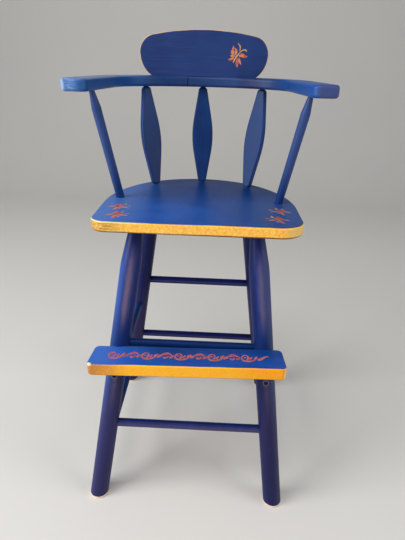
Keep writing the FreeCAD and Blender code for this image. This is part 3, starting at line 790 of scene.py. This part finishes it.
def paint_stretchers(nodes):
    """Stretchers across and beside the chair, brushed along their length."""
    blues = {"front_upper": UPPER_STRETCHER_BLUE, "front_lower": LOWER_STRETCHER_BLUE}
    sheen = [tint(rear_sheen, PALE_VIOLET, 0.15)]
    # Painted shade on the top of the lower front stretcher, under the footrest, and a painted
    # reflection on its underside.
    rubbed_and_shaded = [
        tint(front_lower_top_shade, DEEP_BLUE, 0.75),
        tint(front_lower_underside_reflection, ROSE_VIOLET, 0.34),
    ]
    coats_and_light = {"front_lower": rubbed_and_shaded, "rear_upper": sheen, "rear_lower": sheen}
    for name in nodes:
        if name.endswith("stretcher"):
            beside = name.endswith("side_stretcher")
            along = BACKWARDS if beside else ACROSS
            place = name.removesuffix("_stretcher")
            blue = blues.get(place, SIDE_BLUE if beside else REAR_BLUE)
            finish = painted_wood(name + "_paint", along, blue, *coats_and_light.get(place, []), gloss=0.1)
            finish.paint(nodes[name])


# Dowels and screws

def bare_wood():
    finish = Finish("bare_dowel_wood")
    lines = finish.point.streaks(UPWARDS, 40, 1.2, detail=3)
    finish.feed("Base Color", lines.ramp(0.35, 0.7).mix(BARE_WOOD, BARE_GRAIN))
    finish.feed("Roughness", 0.6 + 0.2 * lines)
    finish.emboss(lines, 0.1)
    return finish


def screw_steel():
    finish = Finish("screw_steel")
    tarnish = finish.point.blotches(2, detail=3)
    finish.feed("Base Color", tarnish.ramp(0.4, 0.65).mix(STEEL_GREY, STEEL_RUST))
    finish.feed("Roughness", 0.35 + 0.3 * tarnish)
    finish.feed("Metallic", 1 - 0.6 * tarnish.ramp(0.45, 0.7))
    finish.emboss(tarnish, 0.05)
    return finish


def paint_chair():
    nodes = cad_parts
    paint_legs(nodes)
    paint_stretchers(nodes)
    paint_rails(nodes)
    paint_seat(nodes)
    paint_footrest(nodes)
    paint_crest(nodes)
    paint_uprights(nodes)
    bare_wood().paint(nodes["crest_dowels"], nodes["splice_dowels"])
    screw_steel().paint(nodes["stretcher_screws"], nodes["footrest_screws"])


# Painted ornament: flat brush strokes, each a row of knots (across, up, width)

SPRIG_BLOOM = [
    [(-3, -6, 5), (-3, 3, 8.8), (-2, 10, 7.4), (-2, 15, 2)],
    [(3, -5, 5), (3, 3, 6), (1, 11, 2)],
]
SPRIG_PETALS = [
    [(-1, -5, 2.6), (-9, -6, 7.2), (-13, -7.5, 5.6), (-18, -10, 0.8)],
    [(2, -6, 3.2), (12, -6.5, 8.2), (17, -8, 6.2), (22, -10.5, 0.8)],
    [(0.5, -7, 3), (0, -16, 6.2), (-2, -23, 5), (-4, -27, 1.2)],
    [(2, -7, 2.6), (6, -15, 6), (8, -20, 1.2)],
]
SPRIG_BUDS = [
    [(5, 0, 1), (8, 4, 1.8), (9.5, 10, 6), (10, 18, 2)],
    [(13, 3, 0.8), (18, 2.5, 1.4), (21, 2.5, 5), (24, 2, 1.2)],
]
SPRIG_HEART = [[(-4, -4, 2), (0, -6, 4.5), (4, -4.5, 2)]]
BUTTERFLY_WINGS = [
    [(-6.8, -2, 3.1), (-11, 5, 8), (-10, 12, 6.2), (-9.8, 19.6, 1)],
    [(-4.3, 1, 3), (-3.4, 6, 5.8), (-3, 11, 4.8), (-6.8, 15.4, 1)],
    [(-8, -2.4, 3), (-12, -1, 4.5), (-16, 0.6, 1.5)],
    [(-8, -3.4, 2.5), (-14, -7.6, 5.9), (-20, -8, 2)],
    [(3.4, -1, 3.1), (8.6, 1.2, 9.4), (14.5, -0.4, 8.1), (21.4, -1, 1.2)],
    [(1.7, -4.3, 2), (0, -11.6, 5.9), (-0.2, -17, 6.2), (0.6, -23, 1.2)],
    [(3, -4.3, 2), (5.2, -10.4, 5.2), (8.6, -18, 1.1)],
]
BUTTERFLY_BODY = [
    [(-9, -13.6, 1.6), (-5, -6.4, 3.6), (-1.6, -1, 4), (1.8, 3.4, 2.6), (5.1, 6.8, 2)],
    [(4.2, 9.4, 1.8), (5.1, 14.6, 2.6), (4.6, 19.2, 2.8), (0, 24.6, 2)],
    [(4.3, 6, 2.2), (8, 9.8, 2.2), (13.6, 12.2, 2.4), (17.4, 11.6, 2.6), (19.5, 9, 2)],
]
VINE_SCROLL = [
    [(4, 8.5, 1.8), (1, 9.5, 3), (-3, 7.5, 3.6), (-5.6, 1.5, 4.2), (-4.5, -5, 4.2), (0.5, -8.6, 4.6),
     (7, -9, 5.2), (13, -7, 5), (19, -4, 2.4)],
    [(3.5, 8.5, 2.2), (6, 4.5, 3.8), (5.6, -1, 4.4), (4, -6, 4), (5, -8.5, 2)],
    [(-2, 0.5, 3), (0.5, 2.5, 3.6), (2, 3, 2)],
    [(8, -4, 2), (11, 0, 4.6), (12.5, 4.5, 1.8)],
]
VINE_LINK = [
    [(16, -4, 2), (20, 2, 8), (22.5, 7.5, 2.6)],
    [(22, -5, 2), (26, 0, 8.4), (30, 4, 3)],
    [(28, 0, 3), (33, 6.5, 4.4), (39, 10.5, 3.6), (44, 8, 3.8), (49, 3, 3)],
    [(33, -2, 2.4), (37, -4.5, 6.4), (41, -3, 4), (42.5, 1.5, 1.8)],
    [(34.5, 3, 2), (38, 6, 3), (41, 4, 2)],
    [(45, -6, 2), (48.5, -2, 7), (52, 3, 3)],
]
VINE_TAIL = [
    [(16, -4, 2), (20, 1, 7), (21.5, 6, 2.6)],
    [(23, -5, 2.4), (28, -2.5, 8), (33, 2, 5.4), (39, 6.5, 3.8), (44, 7, 2)],
]

# Lift of the strokes over the wood and of the hearts over the strokes, and how strokes are shaped
STROKE_LIFT = 0.04
HEART_LIFT = 0.2
STROKE_FLATNESS = 0.05
STROKE_STEPS = 6
STROKE_ROUNDNESS = 2

# Where the ornament lies
BUTTERFLY_PLACE = (67.2, CREST_FRONT - STROKE_LIFT, 850.6)
BUTTERFLY_SIZE = 0.95
VINE_PLACE = (-5.2, -185.5, 341.5)
VINE_START = -139.1
VINE_SPACING = 61.2
VINE_SCROLLS = 5
# Painted shade on the right sprigs, which darken towards the chair's right
RIGHT_SPRIG_SHADE = 0.42


def brush(name, strokes):
    """Lay strokes flat about the origin and make them one thin mesh."""
    bpy.ops.curve.primitive_bezier_curve_add()
    piece = bpy.context.object
    piece.name = name
    curve = piece.data
    curve.splines.clear()
    for knots in strokes:
        line = curve.splines.new("BEZIER")
        line.bezier_points.add(len(knots) - 1)
        for knot, (across, up, width) in zip(line.bezier_points, knots):
            knot.co = (across * MM, up * MM, 0)
            knot.radius = width / 2
            knot.handle_left_type = "AUTO"
            knot.handle_right_type = "AUTO"
    curve.bevel_depth = MM
    curve.bevel_resolution = STROKE_ROUNDNESS
    curve.resolution_u = STROKE_STEPS
    curve.use_fill_caps = True
    bpy.ops.object.convert(target="MESH")
    bpy.ops.transform.resize(value=(1, 1, STROKE_FLATNESS))
    bpy.ops.object.transform_apply(scale=True)
    bpy.ops.object.shade_smooth()
    piece.select_set(False)
    return piece


def repeat(piece, places):
    """Copy a piece to each place, join the copies under its name and drop the pattern."""
    copies = []
    for place in places:
        piece.select_set(True)
        bpy.context.view_layer.objects.active = piece
        bpy.ops.object.duplicate()
        copy = bpy.context.object
        copy.matrix_world = place
        bpy.ops.object.transform_apply(location=True, rotation=True, scale=True)
        copy.select_set(False)
        copies.append(copy)
    name = piece.name
    piece.select_set(True)
    bpy.ops.object.delete()
    return join(name, copies)


def join(name, pieces):
    """Make several pieces one, with its faces outwards."""
    for piece in pieces:
        piece.select_set(True)
    bpy.context.view_layer.objects.active = pieces[0]
    bpy.ops.object.join()
    joined = bpy.context.object
    joined.name = name
    bpy.ops.object.mode_set(mode="EDIT")
    bpy.ops.mesh.select_all(action="SELECT")
    bpy.ops.mesh.normals_make_consistent(inside=False)
    bpy.ops.object.mode_set(mode="OBJECT")
    joined.select_set(False)
    return joined


def ornament(piece, finish):
    finish.paint(piece)
    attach(piece, "root")


def ornament_paint(name, deep, plain, pale, dull=0.0):
    """Thin paint that shows its brush marks, darkened towards the chair's right by its last argument,
    as painted shade.
    """
    finish = Finish(name)
    patches = finish.point.blotches(6, detail=3)
    marks = finish.point.blotches(1.6)
    colour = patches.ramp(0.36, 0.6).mix(deep, plain)
    colour = (0.6 * marks.ramp(0.52, 0.72)).mix(colour, pale)
    colour = (dull * finish.point.part("X").ramp(0, 120)).mix(colour, DULL_PLUM)
    finish.feed("Base Color", colour)
    finish.feed("Roughness", 0.34 + 0.2 * marks)
    finish.emboss(marks, 0.05)
    return finish


def at(across, back, up, turn=0.0, flip=1):
    """Place on a level face: moved, turned about Z, and mirrored where flip is -1."""
    place = Matrix.Translation(Vector((across, back, up + STROKE_LIFT)) * MM)
    return place @ Matrix.Rotation(math.radians(turn), 4, "Z") @ Matrix.Diagonal((flip, 1, 1, 1))


def paint_seat_sprigs():
    """Two flower sprigs at each front corner of the seat."""
    places = [
        at(-142, -105.5, SEAT_TOP),
        at(-147.5, -56, SEAT_TOP, turn=-5),
        at(149, -99, SEAT_TOP, turn=8, flip=-1),
        at(159.5, -48, SEAT_TOP, turn=-3, flip=-1),
    ]
    blooms = ornament_paint("bloom_paint", RUST, ROSE, SALMON, dull=RIGHT_SPRIG_SHADE)
    petals = ornament_paint("petal_paint", ROSE, PETAL_ROSE, PEACH, dull=RIGHT_SPRIG_SHADE)
    buds = ornament_paint("bud_paint", BUD_OCHRE, BUD_GOLD, PEACH)
    hearts = ornament_paint("heart_paint", HEART_GREY, HEART_GREEN, BUD_OCHRE)
    raised = [Matrix.Translation((0, 0, HEART_LIFT * MM)) @ place for place in places]
    ornament(repeat(brush("seat_sprig_blooms", SPRIG_BLOOM), places), blooms)
    ornament(repeat(brush("seat_sprig_petals", SPRIG_PETALS), places), petals)
    ornament(repeat(brush("seat_sprig_buds", SPRIG_BUDS), places), buds)
    ornament(repeat(brush("seat_sprig_hearts", SPRIG_HEART), raised), hearts)


def paint_crest_butterfly():
    """One butterfly on the right of the crest's front face."""
    upright = Matrix.Rotation(math.radians(90), 4, "X")
    moved = Matrix.Translation(Vector(BUTTERFLY_PLACE) * MM)
    places = [moved @ upright @ Matrix.Scale(BUTTERFLY_SIZE, 4)]
    wings = ornament_paint("wing_paint", RUST, ORANGE, PEACH)
    body = ornament_paint("butterfly_body_paint", BUD_GOLD, BODY_GOLD, PEACH)
    ornament(repeat(brush("butterfly_wings", BUTTERFLY_WINGS), places), wings)
    ornament(repeat(brush("butterfly_body", BUTTERFLY_BODY), places), body)


def paint_footrest_vine():
    """Scrolling vine along the footrest, which rises a little to the right."""
    tilted = Matrix.Rotation(-math.atan(FOOTREST_SLOPE), 4, "Y")
    board = Matrix.Translation(Vector(VINE_PLACE) * MM) @ tilted
    places = [board @ at(VINE_SPACING * number + VINE_START, 0, 0) for number in range(VINE_SCROLLS)]
    scrolls = repeat(brush("vine_scrolls", VINE_SCROLL), places)
    links = repeat(brush("vine_links", VINE_LINK), places[:-1])
    tail = repeat(brush("vine_tail", VINE_TAIL), places[-1:])
    vine = join("footrest_vine", [scrolls, links, tail])
    ornament(vine, ornament_paint("vine_paint", RUST, ROSE, SALMON))


# Floor and light, in metres

FLOOR_SIZE = 9
FLOOR_PLACE = (0, -1.0, 0)
BACKDROP_HEIGHT = 5
BACKDROP_CURVE = 1.5
BACKDROP_STEPS = 24
FOLD_TOLERANCE = 0.01
LAMP_AIM = (0, 0, 0.5)
LAMP_SIZE = 1.6
AIR_COLOUR = (0.95, 0.97, 1.0, 1)
AIR_STRENGTH = 0.26


def select_edges(mesh, inside):
    """Select only the edges with both ends inside a region."""
    for face in mesh.polygons:
        face.select = False
    for vertex in mesh.vertices:
        vertex.select = inside(vertex.co)
    for edge in mesh.edges:
        edge.select = all(inside(mesh.vertices[end].co) for end in edge.vertices)


def raise_backdrop(floor):
    """Draw the floor's rear edge up and round the fold under it."""
    rear = max(vertex.co.y for vertex in floor.data.vertices) - FOLD_TOLERANCE
    select_edges(floor.data, lambda place: place.y > rear)
    bpy.ops.object.mode_set(mode="EDIT")
    bpy.ops.mesh.select_mode(type="EDGE")
    bpy.ops.mesh.extrude_region_move(TRANSFORM_OT_translate={"value": (0, 0, BACKDROP_HEIGHT)})
    bpy.ops.object.mode_set(mode="OBJECT")
    select_edges(floor.data, lambda place: place.y > rear and place.z < FOLD_TOLERANCE)
    bpy.ops.object.mode_set(mode="EDIT")
    bpy.ops.mesh.bevel(offset=BACKDROP_CURVE, segments=BACKDROP_STEPS)
    bpy.ops.object.mode_set(mode="OBJECT")
    bpy.ops.object.shade_smooth()


def floor_paint():
    finish = Finish("floor_paint")
    soft = finish.point.blotches(600)
    finish.feed("Base Color", soft.mix(FLOOR_GREY, FLOOR_WARM))
    finish.feed("Roughness", 0.7 + 0.1 * soft)
    return finish


def make_floor():
    """Pale sweep: a floor that curves up into a backdrop behind the chair."""
    bpy.ops.mesh.primitive_plane_add(size=FLOOR_SIZE, location=FLOOR_PLACE)
    floor = bpy.context.object
    floor.name = "studio_floor"
    bpy.ops.object.transform_apply(location=True)
    raise_backdrop(floor)
    floor_paint().paint(floor)
    floor.select_set(False)


def add_light(name, place, power):
    """Soft square lamp that faces the chair."""
    bpy.ops.object.light_add(type="AREA", location=place)
    lamp = bpy.context.object
    lamp.name = name
    lamp.data.size = LAMP_SIZE
    lamp.data.energy = power
    lamp.rotation_euler = (Vector(LAMP_AIM) - Vector(place)).to_track_quat("-Z", "Y").to_euler()
    lamp.select_set(False)


def light_studio():
    add_light("window_light", (-2.3, -1.2, 1.4), 70)
    add_light("fill_light", (2.3, -1.0, 1.6), 26)
    add_light("top_light", (-0.5, -1.0, 2.7), 24)
    world = bpy.data.worlds.new("studio_air")
    bpy.context.scene.world = world
    world.use_nodes = True
    air = world.node_tree.nodes["Background"]
    air.inputs["Color"].default_value = AIR_COLOUR
    air.inputs["Strength"].default_value = AIR_STRENGTH


# Camera, where the photograph's lens stood

CAMERA_PLACE = (33.334, -901.046, 836.756)
CAMERA_YAW = math.radians(-1.291)
CAMERA_PITCH = math.radians(24.049)
CAMERA_ROLL = math.radians(1.914)
FOCAL_PIXELS = 465.655
FRAME_HEIGHT_PIXELS = 540
SENSOR_HEIGHT = 36
NEAREST_SEEN = 10


def make_camera():
    """Camera turned by its yaw, downward pitch and roll."""
    across = Vector((math.cos(CAMERA_YAW), -math.sin(CAMERA_YAW), 0))
    ahead = Vector((math.sin(CAMERA_YAW), math.cos(CAMERA_YAW), 0))
    upward = Vector(UPWARDS)
    look = ahead * math.cos(CAMERA_PITCH) - upward * math.sin(CAMERA_PITCH)
    crown = ahead * math.sin(CAMERA_PITCH) + upward * math.cos(CAMERA_PITCH)
    image_right = across * math.cos(CAMERA_ROLL) + crown * math.sin(CAMERA_ROLL)
    image_up = crown * math.cos(CAMERA_ROLL) - across * math.sin(CAMERA_ROLL)
    turn = Matrix((image_right, image_up, -look)).transposed()
    bpy.ops.object.camera_add(location=Vector(CAMERA_PLACE) * MM, rotation=turn.to_euler())
    camera = bpy.context.object
    camera.name = "photo_camera"
    camera.data.sensor_fit = "VERTICAL"
    camera.data.sensor_height = SENSOR_HEIGHT
    camera.data.lens = FOCAL_PIXELS / FRAME_HEIGHT_PIXELS * SENSOR_HEIGHT
    camera.data.clip_start = NEAREST_SEEN * MM
    bpy.context.scene.camera = camera
    camera.select_set(False)


paint_chair()
paint_seat_sprigs()
paint_crest_butterfly()
paint_footrest_vine()
make_floor()
light_studio()
make_camera()

bpy.context.scene.view_settings.view_transform = "Standard"
